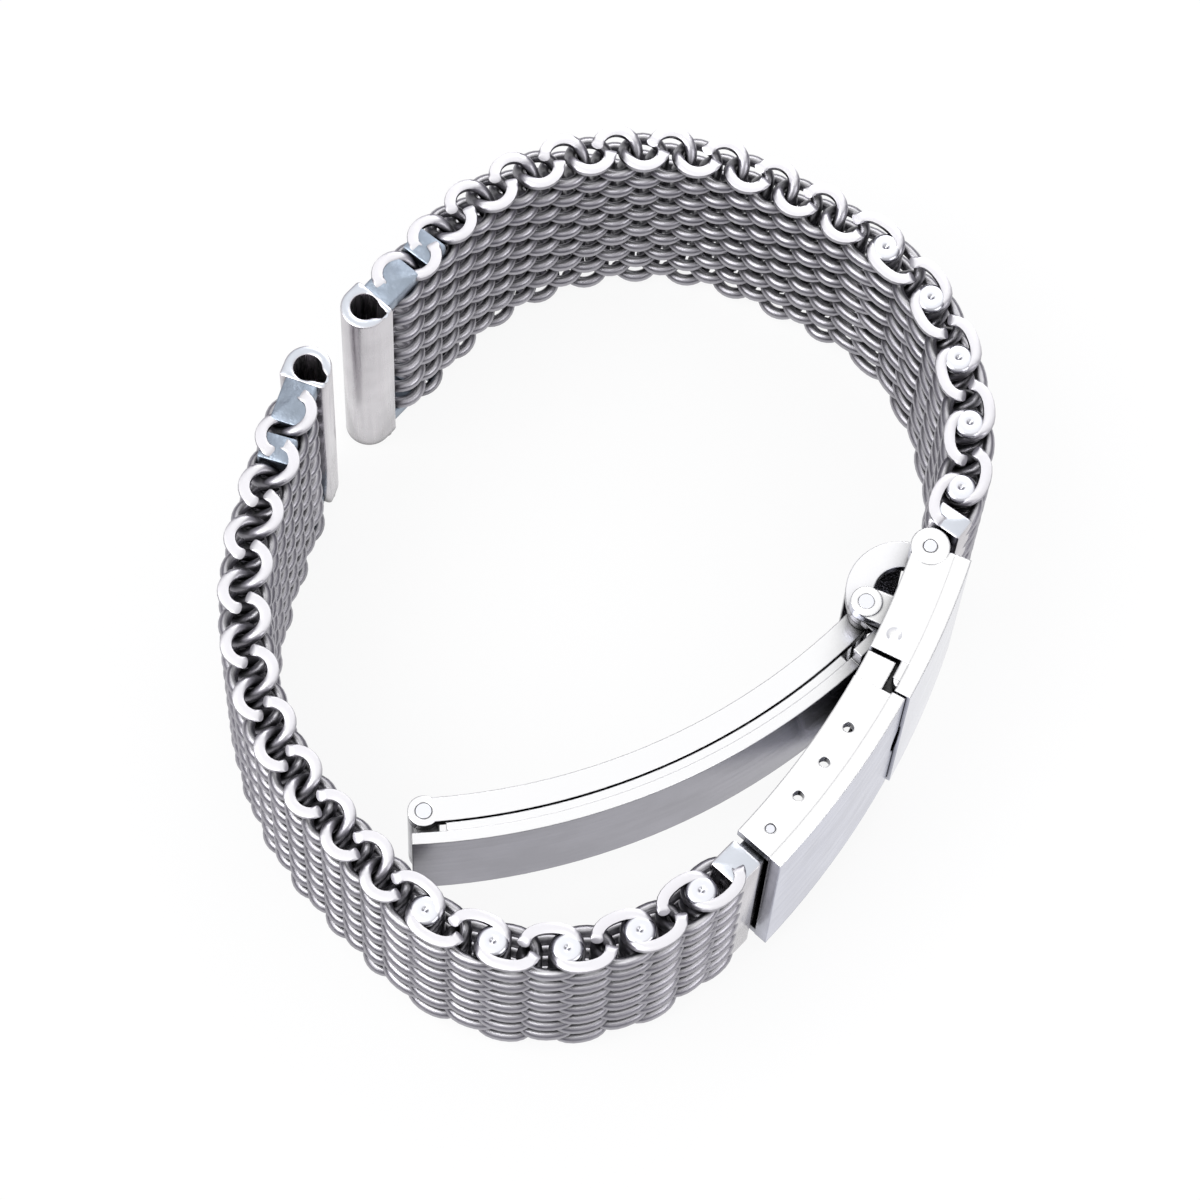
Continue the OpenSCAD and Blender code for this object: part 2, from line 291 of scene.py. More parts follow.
    def _gloss(
        self,
        tree: bpy.types.NodeTree,
        noise: bpy.types.Node,
        shader: bpy.types.Node,
    ) -> None:
        """Vary the roughness along the grain.

        Args:
            tree: The material's nodes.
            noise: The grain.
            shader: The surface shader.
        """
        begin, full = self.texture.gloss_range
        spread = new_node(
            tree,
            "MapRange",
            {
                "From Min": begin,
                "From Max": full,
                "To Min": max(self.texture.least_gloss, self.gloss - self.gloss_spread),
                "To Max": self.gloss + self.gloss_spread,
            },
        )
        tree.links.new(noise.outputs["Fac"], spread.inputs["Value"])
        gloss = self._on_ground(tree, "FLOAT", spread.outputs["Result"], self.ground_gloss)
        tree.links.new(gloss, shader.inputs["Roughness"])

    def _relief(
        self,
        tree: bpy.types.NodeTree,
        noise: bpy.types.Node,
        shader: bpy.types.Node,
    ) -> None:
        """Raise the grain, over edges that are softened by a small bevel.

        Args:
            tree: The material's nodes.
            noise: The grain.
            shader: The surface shader.
        """
        depth = self.texture.relief_depth * MM
        bump = new_node(tree, "Bump", {"Strength": self.relief, "Distance": depth})
        tree.links.new(noise.outputs["Fac"], bump.inputs["Height"])
        if self.edge > 0.0:
            bevel = new_node(tree, "Bevel", {"Radius": self.edge * MM})
            bevel.samples = self.texture.edge_samples
            tree.links.new(bevel.outputs["Normal"], bump.inputs["Normal"])
        tree.links.new(bump.outputs["Normal"], shader.inputs["Normal"])


WIRE = SteelFinish(
    name="woven_wire",
    slot="mesh_wire",
    tint=(0.42, 0.41, 0.445),
    gloss=0.36,
    grain=(700.0, 700.0, 2500.0),
    relief=0.06,
    ground_tint=(0.76, 0.75, 0.78),
    ground_gloss=0.42,
    painted_shade_reach=1.6,
    open_at=0.95,
)
BRAZED = SteelFinish(
    name="brazed_steel",
    slot="brazed_end",
    tint=(0.64, 0.62, 0.645),
    gloss=0.26,
    grain=(2400.0, 2400.0, 120.0),
    relief=0.05,
    ground_tint=(0.66, 0.69, 0.75),
    ground_gloss=0.3,
)
BRAZE_FILL = SteelFinish(
    name="braze_fill",
    slot="brazed_end",
    tint=(0.32, 0.37, 0.44),
    gloss=0.42,
    gloss_spread=0.15,
    relief=0.6,
    painted_shade_tone=0.5,
)
COVER = SteelFinish(
    name="satin_cover",
    slot="cover_steel",
    tint=(0.54, 0.55, 0.65),
    gloss=0.22,
    gloss_spread=0.04,
    grain=(90.0, 90.0, 2600.0),
    relief=0.02,
    edge=0.22,
    ground_tint=(0.95, 0.95, 0.95),
    ground_gloss=0.3,
    painted_shade_reach=4.0,
)
LOCK = SteelFinish(
    name="flip_lock_steel",
    slot="polished_steel",
    tint=(0.55, 0.56, 0.65),
    gloss=0.12,
    gloss_spread=0.03,
    grain=(90.0, 90.0, 2600.0),
    relief=0.015,
    edge=0.25,
    ground_tint=(0.95, 0.95, 0.95),
    ground_gloss=0.3,
)
BLADE = SteelFinish(
    name="stamped_sheet",
    slot="blade_steel",
    tint=(0.265, 0.26, 0.30),
    gloss=0.18,
    gloss_spread=0.05,
    grain=(110.0, 110.0, 2200.0),
    relief=0.03,
    edge=0.15,
    ground_tint=(0.94, 0.94, 0.95),
    ground_gloss=0.25,
    painted_shade_reach=5.0,
)
# Painted shade: the extension link is the blade finish with a much darker tint, standing in for the
# shade it lies in
SHADED_EXTENSION = SteelFinish(
    name="extension_sheet",
    slot="blade_steel",
    tint=(0.14, 0.135, 0.155),
    gloss=0.2,
    gloss_spread=0.05,
    grain=(110.0, 110.0, 2200.0),
    relief=0.03,
    edge=0.15,
    ground_tint=(0.90, 0.90, 0.92),
    ground_gloss=0.3,
    painted_shade_reach=3.0,
)
PIN = SteelFinish(
    name="turned_pin",
    slot="pin_steel",
    tint=(0.50, 0.50, 0.54),
    gloss=0.2,
    relief=0.03,
    edge=0.08,
    ground_tint=(0.82, 0.83, 0.88),
    ground_gloss=0.36,
)


# Mesh helpers


def full_turn(count: int) -> np.ndarray:
    """Return the angles of a ring of points."""
    return np.linspace(0.0, 2.0 * np.pi, count, endpoint=False)


def ring_faces(rings: int, count: int) -> Faces:
    """Join rings of points into quads.

    Args:
        rings: Number of rings.
        count: Number of points in a ring.

    Returns:
        One quad between each two neighbours of a ring and of the next ring.
    """
    row = np.arange(rings - 1)[:, None]
    column = np.arange(count)[None, :]
    after = (column + 1) % count
    quads = np.stack(
        [
            row * count + column,
            (row + 1) * count + column,
            (row + 1) * count + after,
            row * count + after,
        ],
        axis=-1,
    )
    return [tuple(quad) for quad in quads.reshape(-1, 4).tolist()]


def shut_tube(path: np.ndarray, radius: float, sides: int) -> Shape:
    """Carry a circle along a path and close both ends.

    At every point the circle lies in the plane of the side vector, which is
    the path's direction crossed with z, and the up vector, which is the side
    vector crossed with the direction.

    Args:
        path: Points along the wire's centre line, one row each.
        radius: Radius of the wire.
        sides: Number of corners of the circle.

    Returns:
        The points and the faces.
    """
    along = np.gradient(path, axis=0)
    along /= np.linalg.norm(along, axis=1, keepdims=True)
    side = np.cross(along, np.array([0.0, 0.0, 1.0]))
    side /= np.linalg.norm(side, axis=1, keepdims=True)
    up = np.cross(side, along)
    turn = full_turn(sides)[None, :, None]
    ring = np.cos(turn) * side[:, None, :] + np.sin(turn) * up[:, None, :]
    points = (path[:, None, :] + radius * ring).reshape(-1, 3)
    faces = ring_faces(len(path), sides)
    last = (len(path) - 1) * sides
    faces.append(tuple(range(sides)))
    faces.append(tuple(last + k for k in reversed(range(sides))))
    return points, faces


def stacked(section: Sequence[tuple[np.ndarray, float]]) -> np.ndarray:
    """Stack rings of points about the z axis.

    Args:
        section: Each ring's distance from the axis at each angle, and its height.

    Returns:
        The points, ring by ring.
    """
    turn = full_turn(len(section[0][0]))
    rings = [
        np.stack([reach * np.cos(turn), reach * np.sin(turn), np.full_like(reach, height)], axis=-1)
        for reach, height in section
    ]
    return np.concatenate(rings)


def solid_stack(section: Sequence[tuple[np.ndarray, float]]) -> Shape:
    """Stack rings about the z axis into a solid that is closed at both ends.

    Args:
        section: Each ring's distance from the axis at each angle, and its
            height, from the lowest to the highest.

    Returns:
        The points and the faces.
    """
    count = len(section[0][0])
    faces = [tuple(reversed(face)) for face in ring_faces(len(section), count)]
    top = (len(section) - 1) * count
    faces.append(tuple(reversed(range(count))))
    faces.append(tuple(top + k for k in range(count)))
    return stacked(section), faces


def turned(profile: Sequence[tuple[float, float]], segments: int) -> Shape:
    """Turn a profile about the z axis.

    Args:
        profile: Radius and height of each point, from the bottom pole to the top pole.
        segments: Number of points in a turn.

    Returns:
        The points and the faces, with each pole closed by one face.
    """
    return solid_stack([(np.full(segments, radius), height) for radius, height in profile])


def prism(reach: np.ndarray, low: float, high: float, edge: float) -> Shape:
    """Make an upright solid block with rounded edges.

    Args:
        reach: Distance from the middle to the outside at each angle.
        low: Height of the bottom face.
        high: Height of the top face.
        edge: Width of the rounded edges.

    Returns:
        The points and the faces.
    """
    soft = edge * (1.0 - math.sqrt(0.5))
    return solid_stack(
        [
            (reach - edge, low),
            (reach - soft, low + soft),
            (reach, low + edge),
            (reach, high - edge),
            (reach - soft, high - soft),
            (reach - edge, high),
        ]
    )


def bored_block(reach: np.ndarray, bore: np.ndarray, low: float, high: float, edge: float) -> Shape:
    """Make an upright block with a bore through it.

    Each of the block's upright lines stands at one angle about the bore, and
    the section runs up the bore, out over the rounded rim, down the outside
    and back under.

    Args:
        reach: Distance from the bore's axis to the outside at each angle.
        bore: Distance from the bore's axis to its wall at each angle.
        low: Height of the bottom face.
        high: Height of the top face.
        edge: Width of the rounded edges.

    Returns:
        The points and the faces.
    """
    soft = edge * (1.0 - math.sqrt(0.5))
    section = [
        (bore, low + edge),
        (bore, high - edge),
        (bore + soft, high - soft),
        (bore + edge, high),
        (reach - edge, high),
        (reach - soft, high - soft),
        (reach, high - edge),
        (reach, low + edge),
        (reach - soft, low + soft),
        (reach - edge, low),
        (bore + edge, low),
        (bore + soft, low + soft),
    ]
    total = len(section) * len(reach)
    around = ring_faces(len(section) + 1, len(reach))
    faces = [tuple(index % total for index in face) for face in around]
    return stacked(section), faces


def squared(back: float, front: float, half_width: float) -> np.ndarray:
    """Return the reach of a rectangle with rounded corners at each angle.

    The corners are those of a superellipse of the corner power.

    Args:
        back: Distance to the side at 180 degrees.
        front: Distance to the side at 0 degrees.
        half_width: Distance to the two sides between them.

    Returns:
        One distance for each angle.
    """
    turn = full_turn(CORNERS)
    side = np.where(np.cos(turn) >= 0.0, front, back)
    length = side / np.maximum(np.abs(np.cos(turn)), LEAST_COSINE)
    width = half_width / np.maximum(np.abs(np.sin(turn)), LEAST_COSINE)
    return (length ** -CORNER_POWER + width ** -CORNER_POWER) ** (-1.0 / CORNER_POWER)


def joined(parts: Sequence[Shape]) -> Shape:
    """Put several shapes into one.

    Args:
        parts: Points and faces of each shape.

    Returns:
        All the points, and the faces counted on from one shape to the next.
    """
    points: list[np.ndarray] = []
    faces: Faces = []
    start = 0
    for part_points, part_faces in parts:
        points.append(part_points)
        faces.extend(tuple(start + index for index in face) for face in part_faces)
        start += len(part_points)
    return np.concatenate(points), faces


def add_piece(
    name: str, shape: Shape, finish: SteelFinish, body: str, nodes: Sequence[str] = ()
) -> None:
    """Make one finished piece, shaded smooth up to the sharp angle.

    Args:
        name: Name of the piece.
        shape: Points in millimetres and faces.
        finish: The steel finish.
        body: Body that the piece moves with.
        nodes: Nodes of the solid model that the piece stands for.
    """
    points, faces = shape
    mesh = bpy.data.meshes.new(name)
    mesh.from_pydata((points * MM).tolist(), [], faces)
    mesh.validate()
    mesh.update()
    mesh.materials.append(finish.material())
    mesh.shade_smooth()
    mesh.set_sharp_from_angle(angle=SHARP_ANGLE)
    piece = bpy.data.objects.new(name, mesh)
    bpy.context.scene.collection.objects.link(piece)
    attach(piece, body)
    if nodes:
        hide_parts(*nodes)
    LOG.info("%s: %d faces on %s", name, len(faces), body)


# Clasp


@dataclass(frozen=True)
class Clasp:
    """Places of the clasp, seen from above, and the finishes of its solids."""

    centre: tuple[float, float] = (-40.79, 18.12)
    cover_r: float = 70.0
    bar_depth: float = 2.51
    bar_angle: float = -36.5
    band_pin_depth: float = 2.96
    band_pin_angle: float = -14.5

    def _under_cover(self, depth: float, angle: float) -> tuple[float, float]:
        """Find a point under the cover's outer face.

        Args:
            depth: Distance in from the outer face.
            angle: Direction from the cover's centre, in degrees.

        Returns:
            The point's x and y.
        """
        radius = self.cover_r - depth
        turn = math.radians(angle)
        return (
            self.centre[0] + radius * math.cos(turn),
            self.centre[1] + radius * math.sin(turn),
        )

    @property
    def bar(self) -> tuple[float, float]:
        """Place of the spring bar that holds the 6 o'clock half."""
        return self._under_cover(self.bar_depth, self.bar_angle)

    @property
    def band_pin(self) -> tuple[float, float]:
        """Place of the pin that holds the 12 o'clock half."""
        return self._under_cover(self.band_pin_depth, self.band_pin_angle)

    def dress(self, nodes: dict[str, bpy.types.Object]) -> None:
        """Give the solids that stay in view their finishes.

        Args:
            nodes: The solid model's nodes by name.
        """
        finishes = {
            "clasp_cover": COVER,
            "flip_lock": LOCK,
            "blade_outer": BLADE,
            "blade_inner": BLADE,
            "extension_link": SHADED_EXTENSION,
        }
        for name, node in nodes.items():
            node.data.materials.clear()
            node.data.materials.append(finishes.get(name, PIN).material())


# Band


@dataclass(frozen=True)
class BandPlan:
    """Resting curve and stations of one half of the band.

    A station is a distance along the band from its hinge on the clasp.  Each
    arc of the curve is a length and a turn in degrees.  The pin span lies
    between the two long coils that hold a link pin, and the halves are half
    the lengths of a long and of a round coil's centre line.  The post pitch
    is how far the ends of two neighbouring coils pass each other.
    """

    side: Side
    start: tuple[float, float]
    heading: float
    arcs: tuple[tuple[float, float], ...]
    first_pin: float
    link_pitch: float = 5.46
    pin_span: float = 2.33
    long_half: float = 2.08
    half: float = 1.565
    post_pitch: float = 1.03
    coil_pitch: float = 2.1
    links: int = 4
    coils: int = 20
    lug_reach: float = 3.75
    clasp_width: float = 18.0
    lug_width: float = 22.0
    middle: float = 11.0

    @property
    def inner(self) -> float:
        """Return 1 where the wrist is on the left of the band's heading, or else -1."""
        return 1.0 if self.side is Side.TWELVE else -1.0

    @property
    def last_pin(self) -> float:
        """Station of the pin between the last removable link and the weave."""
        return self.first_pin + self.links * self.link_pitch

    def pin(self, index: int) -> float:
        """Return the station of a link pin, counted from the clasp."""
        return self.first_pin + index * self.link_pitch

    def coil(self, index: int) -> float:
        """Return the station of a woven coil, counted from 1."""
        mixed = self.half + self.long_half - self.post_pitch
        return self.last_pin + self.pin_span / 2 + mixed + (index - 1) * self.coil_pitch

    @property
    def lug(self) -> float:
        """Station of the hole for the watch's spring bar."""
        return self.coil(self.coils) + self.lug_reach

    def width(self, station: float) -> float:
        """Return the band's width, which grows evenly over the weave."""
        share = (station - self.last_pin) / (self.coil(self.coils) - self.last_pin)
        return self.clasp_width + (self.lug_width - self.clasp_width) * min(1.0, max(0.0, share))

    def at(self, station: float) -> tuple[float, float, float]:
        """Find a station on the resting curve.

        The curve is a row of circular arcs.  Each arc's end follows from the
        chord of its turn, and the last arc runs on past its length.

        Args:
            station: Distance along the band from its hinge on the clasp.

        Returns:
            Place and heading of the band there.
        """
        x, y = self.start
        heading = self.heading
        left = station
        for index, (length, turn) in enumerate(self.arcs):
            last = index == len(self.arcs) - 1
            here = left if last else min(left, length)
            bend = turn * here / length
            radius = length / math.radians(turn)
            before = math.radians(heading)
            after = math.radians(heading + bend)
            x += radius * (math.sin(after) - math.sin(before))
            y += radius * (math.cos(before) - math.cos(after))
            heading += bend
            left -= here
            if left <= 0.0:
                break
        return x, y, heading

    def place(self, shape: Shape, station: float) -> Shape:
        """Move a shape to a station and turn it to the band's heading.

        Args:
            shape: The shape about its own middle, with the band along x.
            station: Distance along the band from its hinge on the clasp.

        Returns:
            The moved shape.
        """
        x, y, heading = self.at(station)
        c = math.cos(math.radians(heading))
        s = math.sin(math.radians(heading))
        turn = np.array([[c, s, 0.0], [-s, c, 0.0], [0.0, 0.0, 1.0]])
        points, faces = shape
        return points @ turn + np.array([x, y, self.middle]), faces


@dataclass(frozen=True)
class CoilWire:
    """One coil of round wire, ground flat at both edges of the band.

    The levels lie on either side of the middle, with as many points in each
    as there are steps, and the wire runs over the last one by the overrun.
    Grind is what the grinding took off each edge, and flat_wire the height
    of the wire in the solid model, whose levels the coil keeps.
    """

    wire_r: float = 0.47
    levels: int = 7
    grind: float = 0.22
    flat_wire: float = 0.9
    sides: int = 12
    steps: int = 14
    overrun: float = 0.42
    square: float = 2.2
    lie: float = 1.2
    snap: float = 0.6
    rim: float = 0.2

    def shape(self, plan: BandPlan, station: float, half_length: float, phase: Phase) -> Shape:
        """Wind the coil at a station of the band.

        The centre line is x = -p (r sin t + run tanh(k sin t) / tanh k),
        y = p r cos t, with t = pi u, p the phase's sign, r the coil's half
        thickness, run the straight part of a long coil and k how square its
        ends are.  Its height is the level step times (u - lie sin(2 pi u) /
        (2 pi) + snap sin(4 pi u) / (4 pi)), so that the wire lies nearly flat
        on both faces and climbs at the ends.  Above the rim the height eases
        into the ground face as rim tanh(excess / rim).

        Args:
            plan: The half of the band.
            station: Distance of the coil along the band.
            half_length: Half the distance between the coil's two ends.
            phase: Which face the lowest half turn lies on.

        Returns:
            The points and the faces.
        """
        width = plan.width(station)
        step = (width / 2 + self.grind - self.flat_wire / 2) / self.levels
        end = self.levels + self.overrun
        u = np.linspace(-end, end, self.steps * (2 * self.levels + 1) + 1)
        t = np.pi * u
        run = half_length - plan.half
        ease = np.tanh(self.square * np.sin(t)) / math.tanh(self.square)
        sign = float(phase.value)
        lying = self.lie * np.sin(2.0 * t) / (2.0 * np.pi)
        snapping = self.snap * np.sin(4.0 * t) / (4.0 * np.pi)
        centre_line = np.stack(
            [
                -sign * (plan.half * np.sin(t) + run * ease),
                sign * plan.half * np.cos(t),
                step * (u - (lying - snapping)),
            ],
            axis=-1,
        )
        points, faces = shut_tube(centre_line, self.wire_r, self.sides)
        shoulder = width / 2 - self.rim
        height = np.abs(points[:, 2])
        excess = np.maximum(height - shoulder, 0.0)
        eased = np.minimum(height, shoulder) + self.rim * np.tanh(excess / self.rim)
        points[:, 2] = np.sign(points[:, 2]) * eased
        return plan.place((points, faces), station)


@dataclass(frozen=True)
class HingeBlock:
    """Sizes of the knuckle and the block by which a half hangs on the clasp.

    The web and the block's start and end are distances from the hinge's axis.
    """

    knuckle_r: float
    bore_r: float
    half_height: float
    web: float
    web_half: float
    block_start: float
    block_end: float
    block_half: float = 1.4
    block_inset: float = 0.1
    knuckle_edge: float = 0.12
    block_edge: float = 0.18

    def shape(self, clasp_width: float) -> Shape:
        """Join the bored knuckle to the upright block.

        Args:
            clasp_width: The band's width beside the clasp.

        Returns:
            The points about the hinge's axis, and the faces.
        """
        web = squared(self.knuckle_r, self.web, self.web_half)
        behind = np.cos(full_turn(CORNERS)) <= 0.0
        reach = np.where(behind, self.knuckle_r, np.maximum(web, self.knuckle_r))
        bore = np.full_like(reach, self.bore_r)
        knuckle = bored_block(reach, bore, -self.half_height, self.half_height, self.knuckle_edge)
        half = clasp_width / 2 - self.block_inset
        depth = (self.block_end - self.block_start) / 2
        block = prism(squared(depth, depth, self.block_half), -half, half, self.block_edge)
        block[0][:, 0] += (self.block_start + self.block_end) / 2
        return joined([knuckle, block])


@dataclass(frozen=True)
class LinkPin:
    """Sizes of a link pin and its crowned head.

    The tip and the shoulder are heights above the band's lower edge, and the
    pole is the share of the head's radius that one face closes.
    """

    radius: float = 0.38
    tip: float = 0.1
    tip_slope: float = 0.08
    shoulder: float = 0.2
    head_r: float = 1.22
    head_h: float = 0.5
    head_edge: float = 0.06
    head_drop: float = 0.26
    drop_power: int = 8
    dimple: float = 0.14
    dimple_width: float = 6.0
    pole: float = 0.04
    crown_rings: int = 16
    segments: int = 32

    def shape(self, half: float) -> Shape:
        """Turn the pin, with its head at the upper edge.

        The crown falls off towards the head's rim as the drop power of the
        radius, and has a dimple in its middle that fades as exp(-s s), with s
        the radius times the dimple width.

        Args:
            half: Half the band's width at the pin.

        Returns:
            The points about the band's middle, and the faces.
        """
        share = np.linspace(1.0, self.pole, self.crown_rings)
        dimple = self.dimple * np.exp(-((share * self.dimple_width) ** 2))
        crown = half - self.head_drop * share ** self.drop_power - dimple
        under = half - self.head_h
        profile = [
            (self.radius - self.tip_slope, self.tip - half),
            (self.radius, self.shoulder - half),
            (self.radius, under),
            (self.head_r - self.head_edge, under),
            (self.head_r, under + self.head_edge),
            *zip((self.head_r * share).tolist(), crown.tolist()),
        ]
        return turned(profile, self.segments)


@dataclass(frozen=True)
class WatchEnd:
    """Sizes of the bored nose that takes the watch's spring bar.

    The tail deepens the bore on one side.  Its angle from the band's back and
    its spread are in radians.
    """

    nose_r: float = 1.85
    back: float = 1.3
    bore_r: float = 1.05
    tail: float = 0.72
    tail_angle: float = 1.25
    tail_spread: float = 0.36
    edge: float = 0.18

    def shape(self, half: float, inner: float) -> Shape:
        """Bore the nose, with a rounded tail towards the coil and the wrist.

        The tail adds to the bore's radius as exp(-a a), with a the angle away
        from the tail's own over its spread.

        Args:
            half: Half the band's width.
            inner: 1 where the wrist is on the left of the heading, or else -1.

        Returns:
            The points about the bore's axis, and the faces.
        """
        turn = full_turn(CORNERS)
        block = squared(self.back, self.nose_r, self.nose_r)
        reach = np.where(np.cos(turn) >= 0.0, self.nose_r, block)
        away = np.angle(np.exp(1j * (turn - (np.pi - inner * self.tail_angle))))
        bore = self.bore_r + self.tail * np.exp(-((away / self.tail_spread) ** 2))
        return bored_block(reach, bore, -half, half, self.edge)


@dataclass(frozen=True)
class BrazeFill:
    """Braze in the eyes of a coil, just under the band's ground edges.

    The offset is the fill's distance past the coil, towards the watch.
    """

    offset: float
    half_length: float
    half_width: float = 1.3
    sunk: float = 0.08
    depth: float = 1.4
    edge: float = 0.15

    def shapes(self, half: float) -> dict[str, Shape]:
        """Make the fills of both edges.

        Args:
            half: Half the band's width at the fill.

        Returns:
            The upper and the lower fill about the band's middle, by name.
        """
        reach = squared(self.half_length, self.half_length, self.half_width)
        high = half - self.sunk
        return {
            "upper": prism(reach, high - self.depth, high, self.edge),
            "lower": prism(reach, -high, self.depth - high, self.edge),
        }


@dataclass
class BandHalf:
    """One half of the band, from the clasp to the watch."""

    plan: BandPlan
    hinge: HingeBlock
    wire: CoilWire = CoilWire()
    link_pin: LinkPin = LinkPin()
    watch_end: WatchEnd = WatchEnd()
    last_fill: BrazeFill = BrazeFill(offset=0.75, half_length=1.85)
    next_fill: BrazeFill = BrazeFill(offset=-1.05, half_length=1.1)

    @property
    def tag(self) -> str:
        """Return the clock hour that names this half."""
        return self.plan.side.value

    @property
    def last_weave(self) -> int:
        """Number of the last pair of woven coils, which is the one before the lug."""
        return self.plan.coils // 2

    def build(self) -> None:
        """Make every piece of this half."""
        self.add_end_link()
        for index in range(1, self.plan.links + 1):
            self.add_link(index)
        for index in range(1, self.plan.links + 2):
            self.add_link_pin(index)
        for index in range(1, self.last_weave + 1):
            self.add_weave(index)
        self.add_lug_end()

    def _coil_after(self, pin: float) -> Shape:
        """Return the long coil on the watch's side of a link pin."""
        plan = self.plan
        return self.wire.shape(plan, pin + plan.pin_span / 2, plan.long_half, Phase.INNER_FIRST)

    def _coil_before(self, pin: float) -> Shape:
        """Return the long coil on the clasp's side of a link pin."""
        plan = self.plan
        return self.wire.shape(plan, pin - plan.pin_span / 2, plan.long_half, Phase.OUTER_FIRST)

    def _round_coil(self, index: int, phase: Phase) -> Shape:
        """Return a coil of the woven part, counted from 1."""
        return self.wire.shape(self.plan, self.plan.coil(index), self.plan.half, phase)

    def add_end_link(self) -> None:
        """Make the link that is hinged to the clasp: a knuckle, a block and a long coil."""
        plan = self.plan
        name = f"end_link_{self.tag}"
        body = f"{name}_body"
        block = plan.place(self.hinge.shape(plan.clasp_width), 0.0)
        add_piece(f"{name}_block", block, BRAZED, body, [name])
        add_piece(f"{name}_coil", self._coil_before(plan.first_pin), WIRE, body)

    def add_link(self, index: int) -> None:
        """Make a removable link: two long coils between two pins.

        Args:
            index: Number of the link, counted from the clasp.
        """
        coils = [
            self._coil_after(self.plan.pin(index - 1)),
            self._coil_before(self.plan.pin(index)),
        ]
        name = f"link_{self.tag}_{index}"
        add_piece(f"{name}_coils", joined(coils), WIRE, f"{name}_body", [name])

    def add_link_pin(self, index: int) -> None:
        """Make a link pin, which moves with the link on its watch's side.

        Args:
            index: Number of the pin, counted from the clasp.
        """
        plan = self.plan
        station = plan.pin(index - 1)
        shape = plan.place(self.link_pin.shape(plan.width(station) / 2), station)
        last = index == plan.links + 1
        body = f"mesh_{self.tag}_1_body" if last else f"link_{self.tag}_{index}_body"
        name = f"link_pin_{self.tag}_{index}"
        add_piece(f"{name}_turned", shape, PIN, body, [name])

    def add_weave(self, index: int) -> None:
        """Make two coils of the woven part, the first of them long beside the last pin.

        Args:
            index: Number of the pair, counted from the clasp.
        """
        if index == 1:
            first = self._coil_after(self.plan.last_pin)
        else:
            first = self._round_coil(2 * index - 2, Phase.INNER_FIRST)
        second = self._round_coil(2 * index - 1, Phase.OUTER_FIRST)
        name = f"mesh_{self.tag}_{index}"
        add_piece(f"{name}_coils", joined([first, second]), WIRE, f"{name}_body", [name])

    def add_lug_end(self) -> None:
        """Make the watch end: a bored nose behind the last coil, and the braze."""
        plan = self.plan
        body = f"lug_{self.tag}_body"
        name = f"lug_end_{self.tag}"
        nose = plan.place(self.watch_end.shape(plan.lug_width / 2, plan.inner), plan.lug)
        add_piece(f"{name}_nose", nose, BRAZED, body, [name])
        add_piece(f"{name}_coil", self._round_coil(plan.coils, Phase.INNER_FIRST), WIRE, body)
        self.add_braze(self.last_fill, plan.coils, body, 1)
        self.add_braze(self.next_fill, plan.coils - 1, f"mesh_{self.tag}_{self.last_weave}_body", 2)

    def add_braze(self, fill: BrazeFill, coil: int, body: str, index: int) -> None:
        """Fill the eyes of a coil at both edges.

        Args:
            fill: Sizes of the fill.
            coil: Number of the coil, counted from the clasp.
            body: Body that the fill moves with.
            index: Number of the fill, counted from the watch.
        """
        station = self.plan.coil(coil) + fill.offset
        for edge, shape in fill.shapes(self.plan.width(station) / 2).items():
            placed = self.plan.place(shape, station)
            add_piece(f"braze_{self.tag}_{index}_{edge}", placed, BRAZE_FILL, body)


# Studio


@dataclass(frozen=True)
class Lamp:
    """A soft square lamp."""

    name: str
    place: Triple
    size: float
    power: float

    def hang(self, target: Vector) -> None:
        """Hang the lamp so that it points at a target.

        Args:
            target: Place that the lamp points at, in metres.
        """
        data = bpy.data.lights.new(self.name, "AREA")
        data.size = self.size * MM
        data.energy = self.power
        lamp = bpy.data.objects.new(self.name, data)
        lamp.location = Vector(self.place) * MM
        aim = target - lamp.location
        lamp.rotation_euler = aim.to_track_quat("-Z", "Y").to_euler()
        bpy.context.scene.collection.objects.link(lamp)


